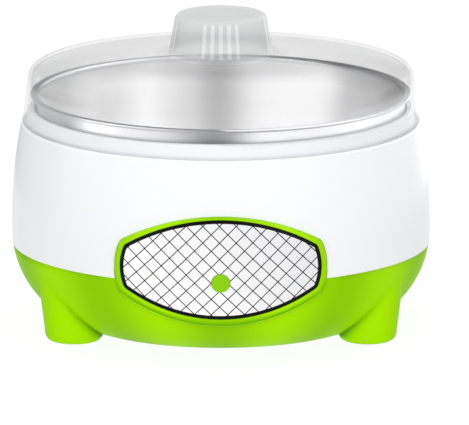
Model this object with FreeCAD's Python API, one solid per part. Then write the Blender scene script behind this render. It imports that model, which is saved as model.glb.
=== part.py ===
import FreeCAD
import Part
import math
import os

# A round electric yogurt maker: a steel pot stands on a warm plate inside a white well and shell,
# on a green base, under a clear lid. Millimetres, +Z up, the front faces -Y, the feet rest on Z = 0.

# Inner pot, pressed from stainless sheet
POT_INNER_RADIUS = 80.8
POT_DEPTH = 60.3
POT_WALL = 0.6
POT_FLOOR_ROUND = 10.0
POT_RIM_WIDTH = 2.7
POT_RIM_BEAD = 0.7
POT_RIM_BEAD_FLAT = 0.02
POT_RIM_BEND = 1.4
POT_RIM_CREASE = 0.3

# Inner well, the white cup that the pot hangs in
POT_CLEARANCE = 0.8
WELL_WALL = 1.6
WELL_FLOOR = 2.0
WELL_FLOOR_ROUND = 6.4
WELL_LIP_THICKNESS = 1.8
WELL_LIP_INSET = 0.4
WELL_LIP_ROUND = 1.2
FINGER_GAP = 4.9
POST_RADIUS = 4.5
POST_PILOT_DEPTH = 16.0

# Body shell, the white barrel around the well
NECK_CLEARANCE = 0.2
NECK_WALL = 1.4
NECK_HEIGHT = 4.9
LEDGE_MARGIN = 0.5
LEDGE_THICKNESS = 2.0
LEDGE_EDGE_ROUND = 0.8
SHELL_WALL = 2.2
BELLY_BULGE = 4.3
BELLY_HEIGHT = 47.0
SEAM_HEIGHT = 37.6

# Outer lid with its hollow knob, one clear moulding
LID_WALL = 1.4
LID_RIM_CLEARANCE = 0.9
LID_SEAT_GAP = 0.2
LID_RIM_ROUND = 0.45
LID_SKIRT_HEIGHT = 23.4
LID_SKIRT_TAPER = 3.0
LID_SHOULDER_ROUND = 4.0
LID_DOME_RISE = 7.5
LID_DOME_CROWN = 1.9
LID_DOME_BREAK_RADIUS = 55.0
LID_DOME_ROUND = 200.0
KNOB_BASE_RADIUS = 23.0
KNOB_TOP_RADIUS = 20.0
KNOB_HEIGHT = 17.6
KNOB_CROWN = 0.4
KNOB_ROOT_ROUND = 1.5
KNOB_EDGE_ROUND = 3.2

# Base, the green bowl with its four foot lugs
GROUND_CLEARANCE = 2.5
BASE_WALL = 2.2
BASE_BOTTOM_INSET = 29.5
BOWL_ARC = 42.6
SEAM_STEP = 0.15
BAY_HEIGHT = 34.1
TONGUE_HEIGHT = 4.0
TONGUE_ROOT = 5.0
TONGUE_WALL = 1.4
TONGUE_CLEARANCE = 0.2
FOOT_INSET = 18.0
FOOT_ANGLES = (60.0, 120.0, 240.0, 300.0)
FOOT_RADIUS = 12.4
FOOT_DRAFT = 7.0
FOOT_EDGE_ROUND = 3.6
FOOT_TOP_DROP = 2.6
BOSS_RADIUS = 6.0
BOSS_HEIGHT = 17.2
BOSS_WEB = 4.0

# Rubber plugs in the feet and the screws behind them
PLUG_RADIUS = 7.0
PLUG_PROUD = 0.4
PLUG_SINK = 1.0
PLUG_CLEARANCE = 0.2
PLUG_STEM_LENGTH = 3.0
PLUG_EDGE_ROUND = 0.5
SCREW_RADIUS = 1.4
SCREW_LENGTH = 17.0
SCREW_TIP = 2.0
SCREW_HEAD_RADIUS = 3.6
SCREW_HEAD_HEIGHT = 2.4
SCREW_HEAD_CLEARANCE = 0.8
SCREW_PILOT_CLEARANCE = 0.1
SCREW_PASS_CLEARANCE = 0.5
SCREW_RECESS_WIDTH = 0.9
SCREW_RECESS_LENGTH = 3.6
SCREW_RECESS_DEPTH = 1.4

# Bezel at the front of the base and the label in it
PANEL_HEIGHT = 43.85
PANEL_PROUD = 1.8
PANEL_APEX_HEIGHT = 51.8
PANEL_ARC = 119.0
PANEL_DEPTH = 24.0
PANEL_DRAFT = 6.0
LABEL_HALF_WIDTH = 43.9
LABEL_HALF_HEIGHT = 22.35
LABEL_LONG_ARC = 75.5
LABEL_SIDE_ARC = 25.0
LABEL_CORNER = 3.0
LABEL_THICKNESS = 0.7
LABEL_RECESS = 0.3
LABEL_GLUE = 0.05
LABEL_CLEARANCE = 0.15
BEZEL_WIDTH = 0.8
BEZEL_EDGE_ROUND = 0.5
CHIN_DROP = 2.4
CHIN_SET_BACK = 0.25
CHIN_ROUND = 3.5
NOTCH_CLEARANCE = 0.1

# Indicator lamp behind the label
LENS_DROP = 5.6
LENS_RADIUS = 4.05
LENS_PROUD = 0.4
LENS_EDGE_ROUND = 0.3
LENS_CLEARANCE = 0.15
LENS_FLANGE_RADIUS = 5.6
LENS_FLANGE_THICKNESS = 1.2
LENS_FLANGE_GAP = 0.2
LENS_SLEEVE_WALL = 1.0
LENS_FRONT_WALL = 1.6
LAMP_RADIUS = 2.3
LAMP_CLEARANCE = 0.1
LAMP_LENGTH = 8.0

# Power inlet at the back, a figure-eight socket with two round pins
INLET_HEIGHT = 22.0
INLET_FLANGE_HALF_WIDTH = 13.0
INLET_FLANGE_HALF_HEIGHT = 7.5
INLET_FLANGE_THICKNESS = 1.8
INLET_FLANGE_ROUND = 2.5
INLET_BODY_HALF_WIDTH = 10.2
INLET_BODY_HALF_HEIGHT = 5.9
INLET_BODY_DEPTH = 15.0
INLET_BODY_ROUND = 1.0
INLET_BODY_CLEARANCE = 0.2
INLET_POCKET_MARGIN = 1.2
INLET_PLATE = 3.0
INLET_BOSS_DEPTH = 14.0
INLET_BARB = 1.0
INLET_BARB_LENGTH = 4.0
INLET_BARB_HALF_HEIGHT = 2.5
SOCKET_LOBE_RADIUS = 4.5
SOCKET_WAIST_HALF_HEIGHT = 3.8
SOCKET_DEPTH = 12.0
PIN_RADIUS = 1.2
PIN_TIP_ROUND = 0.6
PIN_SHANK_RADIUS = 1.8
PIN_TAIL_RADIUS = 0.9
PIN_TAIL = 7.0
PIN_HALF_SPACING = 4.3
PIN_SET_BACK = 1.4

# Heating plate, its gasket and its studs
PLATE_RADIUS = 60.0
PLATE_THICKNESS = 1.8
PLATE_EDGE_ROUND = 0.6
PLATE_SEAT = 14.0
GASKET_THICKNESS = 0.8
GASKET_MARGIN = 1.0
STUD_RADIUS = 1.5
STUD_CLEARANCE = 0.2
STUD_SPARE = 0.8
STUD_ANGLES = (180.0, 60.0, 300.0)
NUT_ACROSS_FLATS = 5.5
NUT_HEIGHT = 2.4

# Heater, fuse and their clamps under the plate
HEATER_LENGTH = 44.0
HEATER_Y = 6.0
HEATER_WIDTH = 20.0
HEATER_HEIGHT = 6.0
HEATER_EDGE_ROUND = 1.0
HEATER_LEAD_HALF_SPACING = 4.0
CLAMP_SHEET = 0.8
CLAMP_WIDTH = 12.0
CLAMP_GAP = 0.2
CLAMP_EAR = 9.0
CLAMP_BEND = 0.6
FUSE_RADIUS = 2.6
FUSE_LENGTH = 20.0
FUSE_EDGE_ROUND = 0.8
FUSE_INSET = 30.0
FUSE_Y = 8.0
CLIP_SHEET = 0.6
CLIP_WIDTH = 8.0
CLIP_EAR = 9.5
CLIP_GAP = 0.05

# Wiring in the base
LEAD_RADIUS = 1.1
LEAD_RUN_OUT = 9.0
LAMP_LEAD_RADIUS = 0.5
LAMP_LEAD_RUN_OUT = 4.0
LAMP_LEAD_HALF_SPACING = 1.2
SPLICE_X = 14.0
SPLICE_Y = -42.0
SPLICE_Z = 28.0
SPLICE_LENGTH = 14.0
SPLICE_WALL = 0.7
SPLICE_CLEARANCE = 0.15
SPLICE_PUSH_IN = 6.0
SPLICE_RUN_IN = 4.0
RESISTOR_RADIUS = 1.5
RESISTOR_LENGTH = 9.0
RESISTOR_SET_OFF = 3.0
LEAD_BEND_SHARE = 0.45

# Radii from the pot outwards
POT_OUTER_RADIUS = POT_INNER_RADIUS + POT_WALL
POT_RIM_RADIUS = POT_OUTER_RADIUS + POT_RIM_WIDTH
WELL_INNER_RADIUS = POT_OUTER_RADIUS + POT_CLEARANCE
WELL_OUTER_RADIUS = WELL_INNER_RADIUS + WELL_WALL
NECK_INNER_RADIUS = WELL_OUTER_RADIUS + NECK_CLEARANCE
NECK_OUTER_RADIUS = NECK_INNER_RADIUS + NECK_WALL
WELL_LIP_RADIUS = NECK_OUTER_RADIUS - WELL_LIP_INSET
LID_RIM_RADIUS = NECK_OUTER_RADIUS + LID_RIM_CLEARANCE + LID_WALL
SHELL_TOP_RADIUS = LID_RIM_RADIUS + LEDGE_MARGIN
BODY_RADIUS = SHELL_TOP_RADIUS + BELLY_BULGE
PANEL_RADIUS = BODY_RADIUS + PANEL_PROUD
FOOT_CIRCLE = BODY_RADIUS - FOOT_INSET
BASE_BOTTOM_RADIUS = BODY_RADIUS - BASE_BOTTOM_INSET
WELL_WINDOW_RADIUS = PLATE_RADIUS - PLATE_SEAT
STUD_CIRCLE = PLATE_RADIUS - PLATE_SEAT / 2
FUSE_X = FUSE_INSET - PLATE_RADIUS

# Heights from the feet upwards
FOOT_BOTTOM_Z = PLUG_PROUD
BASE_FLOOR_Z = GROUND_CLEARANCE + BASE_WALL
BOSS_TOP_Z = FOOT_BOTTOM_Z + BOSS_HEIGHT
SCREW_SEAT_Z = BOSS_TOP_Z - BOSS_WEB
WELL_UNDERSIDE_Z = BASE_FLOOR_Z + BAY_HEIGHT
WELL_FLOOR_Z = WELL_UNDERSIDE_Z + WELL_FLOOR
PLATE_UNDERSIDE_Z = WELL_FLOOR_Z + GASKET_THICKNESS
PLATE_TOP_Z = PLATE_UNDERSIDE_Z + PLATE_THICKNESS
POT_FLOOR_Z = PLATE_TOP_Z + POT_WALL
POT_RIM_Z = POT_FLOOR_Z + POT_DEPTH
WELL_LIP_Z = POT_RIM_Z - 2 * POT_RIM_BEAD - FINGER_GAP
NECK_TOP_Z = WELL_LIP_Z - WELL_LIP_THICKNESS
LEDGE_Z = NECK_TOP_Z - NECK_HEIGHT
LEDGE_UNDERSIDE_Z = LEDGE_Z - LEDGE_THICKNESS
LID_RIM_Z = LEDGE_Z + LID_SEAT_GAP
LID_SHOULDER_Z = LID_RIM_Z + LID_SKIRT_HEIGHT
KNOB_BASE_Z = LID_SHOULDER_Z + LID_DOME_RISE
KNOB_TOP_Z = KNOB_BASE_Z + KNOB_HEIGHT
LENS_Z = PANEL_HEIGHT - LENS_DROP
HEATER_BOTTOM_Z = PLATE_UNDERSIDE_Z - HEATER_HEIGHT
HEATER_FRONT_Y = HEATER_Y - HEATER_LENGTH / 2
HEATER_LEAD_Z = PLATE_UNDERSIDE_Z - HEATER_HEIGHT / 2
FUSE_Z = PLATE_UNDERSIDE_Z - FUSE_RADIUS

# Fits that two or more pieces share
LABEL_BACK = LABEL_RECESS + LABEL_THICKNESS
POCKET_DEPTH = LABEL_BACK + LABEL_GLUE
POCKET_GROW = LABEL_CLEARANCE
BEZEL_GROW = POCKET_GROW + BEZEL_WIDTH
SCREW_HEAD_BORE = SCREW_HEAD_RADIUS + SCREW_HEAD_CLEARANCE
STUD_HOLE_RADIUS = STUD_RADIUS + STUD_CLEARANCE
CLAMP_STUD_X = HEATER_WIDTH / 2 + CLAMP_GAP + CLAMP_SHEET + CLAMP_EAR / 2
CLIP_STUD_X = FUSE_X - FUSE_RADIUS - CLIP_GAP - CLIP_EAR / 2
BELLY_RISE = LEDGE_Z - BELLY_HEIGHT
BELLY_ARC = (BELLY_RISE ** 2 + BELLY_BULGE ** 2) / (2 * BELLY_BULGE)
SPLICE_BORE = 2 * LEAD_RADIUS + SPLICE_CLEARANCE
SPLICE_RADIUS = SPLICE_BORE + SPLICE_WALL
PANEL_SPREAD = PANEL_DEPTH * math.tan(math.radians(PANEL_DRAFT))

UP = FreeCAD.Vector(0, 0, 1)
BACK = FreeCAD.Vector(0, 1, 0)


def vector(x, y, z):
    return FreeCAD.Vector(x, y, z)


def on_circle(radius, angle, z):
    """Point on a circle about the axis; the angle counts from the front, anticlockwise from above."""
    turn = math.radians(angle)
    return vector(radius * math.sin(turn), -radius * math.cos(turn), z)


def rounded_outline(corners):
    """Closed wire in the XZ plane through (x, z, rounding) corners."""
    count = len(corners)
    places = [vector(x, 0, z) for x, z, _ in corners]
    arcs = []
    for index, (_, _, rounding) in enumerate(corners):
        here = places[index]
        to_last = (places[index - 1] - here).normalize()
        to_next = (places[(index + 1) % count] - here).normalize()
        if rounding <= 0:
            arcs.append((here, None, here))
            continue
        half_angle = to_last.getAngle(to_next) / 2
        reach = rounding / math.tan(half_angle)
        inward = (to_last + to_next).normalize()
        middle = here + inward * (rounding / math.sin(half_angle) - rounding)
        arcs.append((here + to_last * reach, middle, here + to_next * reach))
    edges = []
    for index, (start, middle, end) in enumerate(arcs):
        if middle is not None:
            edges.append(Part.Arc(start, middle, end).toShape())
        next_start = arcs[(index + 1) % count][0]
        if end.distanceToPoint(next_start) > 1e-6:
            edges.append(Part.LineSegment(end, next_start).toShape())
    return Part.Wire(edges)


def turned_wire(wire):
    """Solid of revolution about Z from a closed wire in the XZ plane."""
    return Part.Face(wire).revolve(vector(0, 0, 0), UP, 360)


def turned(corners):
    return turned_wire(rounded_outline(corners))


def upright(radius, place, top):
    """Upright cylinder that starts at a place and ends at a height."""
    return Part.makeCylinder(radius, top - place.z, place)


def lying(radius, place, end_y):
    """Cylinder along Y that starts at a place and ends at another depth."""
    length = end_y - place.y
    return Part.makeCylinder(radius, abs(length), place, BACK * math.copysign(1, length))


def block(low, high):
    size = high - low
    return Part.makeBox(size.x, size.y, size.z, low)


def joined(shapes):
    """One solid from shapes that touch or overlap."""
    whole = shapes[0]
    if len(shapes) > 1:
        whole = whole.fuse(shapes[1:])
    return whole.removeSplitter()


def circles(shape, radius, z):
    """The shape's round edges about the axis with this radius, at this height."""
    found = []
    for edge in shape.Edges:
        if not isinstance(edge.Curve, Part.Circle):
            continue
        at_height = abs(edge.Curve.Center.z - z) < 1e-4
        if at_height and abs(edge.Curve.Radius - radius) < 1e-4:
            found.append(edge)
    return found


def shell_radius(z, inset):
    """Radius of the barrel, or of a surface parallel to it, at a height."""
    return BODY_RADIUS - BELLY_ARC + math.sqrt((BELLY_ARC - inset) ** 2 - (z - BELLY_HEIGHT) ** 2)


def arc_up(radius_at, bottom, top, inset):
    """Arc in the XZ plane between two heights, on a profile given as a function of height."""
    heights = (bottom, (bottom + top) / 2, top)
    return Part.Arc(*[vector(radius_at(z, inset), 0, z) for z in heights]).toShape()


def path(*points):
    """Straight edges through (x, z) points in the XZ plane."""
    places = [vector(x, 0, z) for x, z in points]
    return [Part.LineSegment(a, b).toShape() for a, b in zip(places, places[1:])]


def bowl_centre():
    """Centre of the arc that the bowl follows from its bottom edge up to the seam."""
    low = vector(BASE_BOTTOM_RADIUS, 0, GROUND_CLEARANCE)
    high = vector(shell_radius(SEAM_HEIGHT, SEAM_STEP), 0, SEAM_HEIGHT)
    along = high - low
    half = along.Length / 2
    inward = vector(-along.z, 0, along.x).normalize()
    return (low + high) * 0.5 + inward * math.sqrt(BOWL_ARC ** 2 - half ** 2)


BOWL_CENTRE = bowl_centre()


def bowl_radius(z, inset):
    return BOWL_CENTRE.x + math.sqrt((BOWL_ARC - inset) ** 2 - (z - BOWL_CENTRE.z) ** 2)


def bowl(inset):
    """The bowl's outside, or the hollow that is left inside a wall of this thickness."""
    bottom = GROUND_CLEARANCE + inset
    edges = [arc_up(bowl_radius, bottom, SEAM_HEIGHT, inset)]
    edges += path(
        (bowl_radius(SEAM_HEIGHT, inset), SEAM_HEIGHT),
        (0, SEAM_HEIGHT),
        (0, bottom),
        (bowl_radius(bottom, inset), bottom),
    )
    return turned_wire(Part.Wire(edges))


def barrel_inside():
    """Everything inside the shell's wall, from the seam to the ledge."""
    edges = [arc_up(shell_radius, SEAM_HEIGHT, LEDGE_UNDERSIDE_Z, SHELL_WALL)]
    edges += path(
        (shell_radius(LEDGE_UNDERSIDE_Z, SHELL_WALL), LEDGE_UNDERSIDE_Z),
        (0, LEDGE_UNDERSIDE_Z),
        (0, SEAM_HEIGHT),
        (shell_radius(SEAM_HEIGHT, SHELL_WALL), SEAM_HEIGHT),
    )
    return turned_wire(Part.Wire(edges))


def panel_radius(z, inset):
    """Radius of the bezel's face, or of a surface behind it, at a height."""
    rise = z - PANEL_APEX_HEIGHT
    return PANEL_RADIUS - PANEL_ARC + math.sqrt((PANEL_ARC - inset) ** 2 - rise ** 2)


def panel_round(inset):
    """Solid of revolution whose outside is the bezel's face, set back by the inset."""
    reach = LABEL_HALF_HEIGHT + BEZEL_GROW + CHIN_DROP + PANEL_SPREAD
    bottom = PANEL_HEIGHT - reach
    top = PANEL_HEIGHT + reach
    edges = [arc_up(panel_radius, bottom, top, inset)]
    edges += path(
        (panel_radius(top, inset), top),
        (0, top),
        (0, bottom),
        (panel_radius(bottom, inset), bottom),
    )
    return turned_wire(Part.Wire(edges))


def panel_outline(grow, y):
    """Outline of the label, four arcs with rounded corners, grown evenly and set at a depth."""
    long_centre = vector(0, 0, LABEL_HALF_HEIGHT - LABEL_LONG_ARC)
    side_centre = vector(LABEL_HALF_WIDTH - LABEL_SIDE_ARC, 0, 0)
    long_reach = LABEL_LONG_ARC - LABEL_CORNER
    side_reach = LABEL_SIDE_ARC - LABEL_CORNER
    between = side_centre - long_centre
    gap = between.Length
    along = (gap ** 2 + long_reach ** 2 - side_reach ** 2) / (2 * gap)
    across = math.sqrt(long_reach ** 2 - along ** 2)
    toward = between * (1 / gap)
    corner_centre = long_centre + toward * along + vector(toward.z, 0, -toward.x) * across
    from_long = (corner_centre - long_centre).normalize()
    from_side = (corner_centre - side_centre).normalize()
    corner = LABEL_CORNER + grow
    long_end = corner_centre + from_long * corner
    side_end = corner_centre + from_side * corner
    corner_middle = corner_centre + (from_long + from_side).normalize() * corner
    top = vector(0, 0, LABEL_HALF_HEIGHT + grow)
    side = vector(LABEL_HALF_WIDTH + grow, 0, 0)

    def placed(point, mirror_x, mirror_z):
        return vector(point.x * mirror_x, y, PANEL_HEIGHT + point.z * mirror_z)

    def arc(*points):
        return Part.Arc(*points).toShape()

    edges = [
        arc(placed(long_end, -1, 1), placed(top, 1, 1), placed(long_end, 1, 1)),
        arc(placed(long_end, 1, 1), placed(corner_middle, 1, 1), placed(side_end, 1, 1)),
        arc(placed(side_end, 1, 1), placed(side, 1, 1), placed(side_end, 1, -1)),
        arc(placed(side_end, 1, -1), placed(corner_middle, 1, -1), placed(long_end, 1, -1)),
        arc(placed(long_end, 1, -1), placed(top, 1, -1), placed(long_end, -1, -1)),
        arc(placed(long_end, -1, -1), placed(corner_middle, -1, -1), placed(side_end, -1, -1)),
        arc(placed(side_end, -1, -1), placed(side, -1, 1), placed(side_end, -1, 1)),
        arc(placed(side_end, -1, 1), placed(corner_middle, -1, 1), placed(long_end, -1, 1)),
    ]
    return Part.Wire(edges)


def panel_block(grow, drop):
    """Drafted block behind the bezel's outline, from in front of its face back into the base."""
    front = panel_outline(grow, -PANEL_RADIUS)
    back = panel_outline(grow + PANEL_SPREAD, PANEL_DEPTH - PANEL_RADIUS)
    solid = Part.makeLoft([front, back], True, True)
    solid.translate(UP * -drop)
    return solid


def panel_prism(grow):
    """Straight block behind the label's outline, without draft."""
    face = Part.Face(panel_outline(grow, -PANEL_RADIUS))
    return face.extrude(BACK * PANEL_DEPTH)


def outer_lid():
    lid = lid_form(0, LID_RIM_Z).cut(lid_form(LID_WALL, LID_RIM_Z - LID_WALL))
    return lid.makeFillet(LID_RIM_ROUND, circles(lid, LID_RIM_RADIUS, LID_RIM_Z))


def lid_form(inset, bottom):
    """The lid's outside, or the hollow that is left inside a wall of this thickness."""
    slope = LID_SKIRT_TAPER / LID_SKIRT_HEIGHT
    top_share = (LID_RIM_RADIUS - LID_SKIRT_TAPER - LID_DOME_BREAK_RADIUS) / (
        LID_RIM_RADIUS - LID_SKIRT_TAPER - KNOB_BASE_RADIUS
    )
    break_z = LID_SHOULDER_Z + LID_DOME_RISE * top_share + LID_DOME_CROWN
    return turned([
        (0, bottom, 0),
        (LID_RIM_RADIUS - inset + slope * (LID_RIM_Z - bottom), bottom, 0),
        (LID_RIM_RADIUS - LID_SKIRT_TAPER - inset, LID_SHOULDER_Z - inset, LID_SHOULDER_ROUND - inset),
        (LID_DOME_BREAK_RADIUS, break_z - inset, LID_DOME_ROUND),
        (KNOB_BASE_RADIUS - inset, KNOB_BASE_Z - inset, KNOB_ROOT_ROUND + inset),
        (KNOB_TOP_RADIUS - inset, KNOB_TOP_Z - KNOB_CROWN - inset, KNOB_EDGE_ROUND - inset),
        (0, KNOB_TOP_Z - inset, 0),
    ])


def inner_pot():
    bead = 2 * POT_RIM_BEAD
    bead_round = POT_RIM_BEAD - POT_RIM_BEAD_FLAT
    return turned([
        (0, PLATE_TOP_Z, 0),
        (POT_OUTER_RADIUS, PLATE_TOP_Z, POT_FLOOR_ROUND + POT_WALL),
        (POT_OUTER_RADIUS, POT_RIM_Z - POT_WALL, POT_RIM_BEND - POT_WALL),
        (POT_RIM_RADIUS - bead, POT_RIM_Z - POT_WALL, POT_RIM_CREASE),
        (POT_RIM_RADIUS - bead, POT_RIM_Z - bead, POT_RIM_CREASE),
        (POT_RIM_RADIUS, POT_RIM_Z - bead, bead_round),
        (POT_RIM_RADIUS, POT_RIM_Z, bead_round),
        (POT_INNER_RADIUS, POT_RIM_Z, POT_RIM_BEND),
        (POT_INNER_RADIUS, POT_FLOOR_Z, POT_FLOOR_ROUND),
        (0, POT_FLOOR_Z, 0),
    ])


def body_shell():
    edges = [arc_up(shell_radius, SEAM_HEIGHT, LEDGE_Z, 0)]
    edges += path(
        (SHELL_TOP_RADIUS, LEDGE_Z),
        (NECK_OUTER_RADIUS, LEDGE_Z),
        (NECK_OUTER_RADIUS, NECK_TOP_Z),
        (NECK_INNER_RADIUS, NECK_TOP_Z),
        (NECK_INNER_RADIUS, LEDGE_UNDERSIDE_Z),
        (shell_radius(LEDGE_UNDERSIDE_Z, SHELL_WALL), LEDGE_UNDERSIDE_Z),
    )
    edges.append(arc_up(shell_radius, SEAM_HEIGHT, LEDGE_UNDERSIDE_Z, SHELL_WALL))
    edges += path(
        (shell_radius(SEAM_HEIGHT, SHELL_WALL), SEAM_HEIGHT),
        (shell_radius(SEAM_HEIGHT, 0), SEAM_HEIGHT),
    )
    shell = turned_wire(Part.Wire(Part.__sortEdges__(edges)))
    shell = shell.makeFillet(LEDGE_EDGE_ROUND, circles(shell, SHELL_TOP_RADIUS, LEDGE_Z))
    return shell.cut([panel_block(BEZEL_GROW + NOTCH_CLEARANCE, drop) for drop in (0, CHIN_DROP)])


def inner_well():
    cup = turned([
        (WELL_WINDOW_RADIUS, WELL_UNDERSIDE_Z, 0),
        (WELL_OUTER_RADIUS, WELL_UNDERSIDE_Z, WELL_FLOOR_ROUND + WELL_WALL),
        (WELL_OUTER_RADIUS, NECK_TOP_Z, 0),
        (WELL_LIP_RADIUS, NECK_TOP_Z, 0),
        (WELL_LIP_RADIUS, WELL_LIP_Z, WELL_LIP_ROUND),
        (WELL_INNER_RADIUS, WELL_LIP_Z, WELL_LIP_ROUND),
        (WELL_INNER_RADIUS, WELL_FLOOR_Z, WELL_FLOOR_ROUND),
        (WELL_WINDOW_RADIUS, WELL_FLOOR_Z, 0),
    ])
    posts = []
    holes = []
    for angle in FOOT_ANGLES:
        foot = on_circle(FOOT_CIRCLE, angle, BOSS_TOP_Z)
        posts.append(upright(POST_RADIUS, foot, WELL_UNDERSIDE_Z + WELL_FLOOR / 2))
        holes.append(upright(SCREW_RADIUS + SCREW_PILOT_CLEARANCE, foot, BOSS_TOP_Z + POST_PILOT_DEPTH))
    for angle in STUD_ANGLES:
        stud = on_circle(STUD_CIRCLE, angle, WELL_UNDERSIDE_Z)
        holes.append(upright(STUD_HOLE_RADIUS, stud, WELL_FLOOR_Z))
    return joined([cup] + posts).cut(holes)


def heating_plate():
    disc = upright(PLATE_RADIUS, vector(0, 0, PLATE_UNDERSIDE_Z), PLATE_TOP_Z)
    disc = disc.makeFillet(PLATE_EDGE_ROUND, circles(disc, PLATE_RADIUS, PLATE_TOP_Z))
    floor_stud_end = WELL_UNDERSIDE_Z - NUT_HEIGHT - STUD_SPARE
    studs = []
    for angle in STUD_ANGLES:
        studs.append(upright(STUD_RADIUS, on_circle(STUD_CIRCLE, angle, floor_stud_end), PLATE_UNDERSIDE_Z))
    for place, sheet in clamp_studs():
        foot = vector(place.x, place.y, place.z - sheet - NUT_HEIGHT - STUD_SPARE)
        studs.append(upright(STUD_RADIUS, foot, PLATE_UNDERSIDE_Z))
    return joined([disc] + studs)


def clamp_studs():
    """Where the heater strap and the fuse clip are bolted to the plate, with their sheet thickness."""
    return [
        (vector(-CLAMP_STUD_X, HEATER_Y, PLATE_UNDERSIDE_Z), CLAMP_SHEET),
        (vector(CLAMP_STUD_X, HEATER_Y, PLATE_UNDERSIDE_Z), CLAMP_SHEET),
        (vector(CLIP_STUD_X, FUSE_Y, PLATE_UNDERSIDE_Z), CLIP_SHEET),
    ]


def plate_gasket():
    inner = WELL_WINDOW_RADIUS + GASKET_MARGIN
    outer = PLATE_RADIUS - GASKET_MARGIN
    floor = vector(0, 0, WELL_FLOOR_Z)
    ring = upright(outer, floor, PLATE_UNDERSIDE_Z).cut(upright(inner, floor, PLATE_UNDERSIDE_Z))
    holes = []
    for angle in STUD_ANGLES:
        place = on_circle(STUD_CIRCLE, angle, WELL_FLOOR_Z)
        holes.append(upright(STUD_HOLE_RADIUS, place, PLATE_UNDERSIDE_Z))
    return ring.cut(holes)


def nut(seat):
    """Hexagon nut hanging under a seat, with a clear bore for the stud."""
    corner_radius = NUT_ACROSS_FLATS / math.sqrt(3)
    bottom = seat - UP * NUT_HEIGHT
    corners = []
    for step in range(7):
        turn = math.radians(60 * step)
        corners.append(bottom + vector(corner_radius * math.cos(turn), corner_radius * math.sin(turn), 0))
    body = Part.Face(Part.makePolygon(corners)).extrude(UP * NUT_HEIGHT)
    return body.cut(upright(STUD_RADIUS + SCREW_PILOT_CLEARANCE, bottom, seat.z))


def plate_nuts():
    return Part.Compound([nut(on_circle(STUD_CIRCLE, angle, WELL_UNDERSIDE_Z)) for angle in STUD_ANGLES])


def clamp_nuts():
    return Part.Compound([nut(place - UP * sheet) for place, sheet in clamp_studs()])


def ptc_heater():
    low = vector(-HEATER_WIDTH / 2, HEATER_FRONT_Y, HEATER_BOTTOM_Z)
    body = block(low, vector(HEATER_WIDTH / 2, HEATER_FRONT_Y + HEATER_LENGTH, PLATE_UNDERSIDE_Z))
    long_edges = [edge for edge in body.Edges if abs(edge.Length - HEATER_LENGTH) < 1e-6]
    return body.makeFillet(HEATER_EDGE_ROUND, long_edges)


def heater_clamp():
    inside = HEATER_WIDTH / 2 + CLAMP_GAP
    outside = inside + CLAMP_SHEET
    end = outside + CLAMP_EAR
    plate = PLATE_UNDERSIDE_Z
    under_plate = plate - CLAMP_SHEET
    outline = rounded_outline([
        (-end, plate, 0),
        (-end, under_plate, 0),
        (-outside, under_plate, 0),
        (-outside, HEATER_BOTTOM_Z - CLAMP_SHEET, CLAMP_BEND),
        (outside, HEATER_BOTTOM_Z - CLAMP_SHEET, CLAMP_BEND),
        (outside, under_plate, 0),
        (end, under_plate, 0),
        (end, plate, 0),
        (inside, plate, CLAMP_BEND),
        (inside, HEATER_BOTTOM_Z, 0),
        (-inside, HEATER_BOTTOM_Z, 0),
        (-inside, plate, CLAMP_BEND),
    ])
    strap = Part.Face(outline).extrude(BACK * CLAMP_WIDTH)
    strap.translate(BACK * (HEATER_Y - CLAMP_WIDTH / 2))
    holes = []
    for x in (-CLAMP_STUD_X, CLAMP_STUD_X):
        holes.append(upright(STUD_HOLE_RADIUS, vector(x, HEATER_Y, under_plate), plate))
    return strap.cut(holes)


def thermal_fuse():
    body = lying(FUSE_RADIUS, vector(FUSE_X, FUSE_Y - FUSE_LENGTH / 2, FUSE_Z), FUSE_Y + FUSE_LENGTH / 2)
    rims = [edge for edge in body.Edges if isinstance(edge.Curve, Part.Circle)]
    return body.makeFillet(FUSE_EDGE_ROUND, rims)


def fuse_clip():
    front = FUSE_Y - CLIP_WIDTH / 2
    back = FUSE_Y + CLIP_WIDTH / 2
    inner = FUSE_RADIUS + CLIP_GAP
    outer = inner + CLIP_SHEET

    def saddle(radius):
        round_part = lying(radius, vector(FUSE_X, front, FUSE_Z), back)
        leg_corner = vector(FUSE_X + radius, back, PLATE_UNDERSIDE_Z)
        return round_part.fuse(block(vector(FUSE_X - radius, front, FUSE_Z), leg_corner))

    above_plate = vector(FUSE_X + outer, back, PLATE_UNDERSIDE_Z + outer)
    trim = block(vector(FUSE_X - outer, front, PLATE_UNDERSIDE_Z), above_plate)
    ear = block(
        vector(FUSE_X - inner - CLIP_EAR, front, PLATE_UNDERSIDE_Z - CLIP_SHEET),
        vector(FUSE_X - inner, back, PLATE_UNDERSIDE_Z),
    )
    stud = vector(CLIP_STUD_X, FUSE_Y, PLATE_UNDERSIDE_Z - CLIP_SHEET)
    hole = upright(STUD_HOLE_RADIUS, stud, PLATE_UNDERSIDE_Z)
    return joined([saddle(outer).cut(saddle(inner)), ear]).cut([trim, hole])


def foot_lug(place, inset):
    """Tapered lug under the bowl, or the hollow that is left inside a wall of this thickness."""
    slope = math.tan(math.radians(FOOT_DRAFT))
    bottom = FOOT_BOTTOM_Z + inset
    top = SEAM_HEIGHT - FOOT_TOP_DROP
    bottom_radius = FOOT_RADIUS - inset + slope * inset
    top_radius = bottom_radius + slope * (top - bottom)
    lug = Part.makeCone(bottom_radius, top_radius, top - bottom, vector(place.x, place.y, bottom))
    rim = [edge for edge in lug.Edges if edge.BoundBox.ZMax < bottom + 1e-4]
    return lug.makeFillet(FOOT_EDGE_ROUND - inset, rim)


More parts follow.
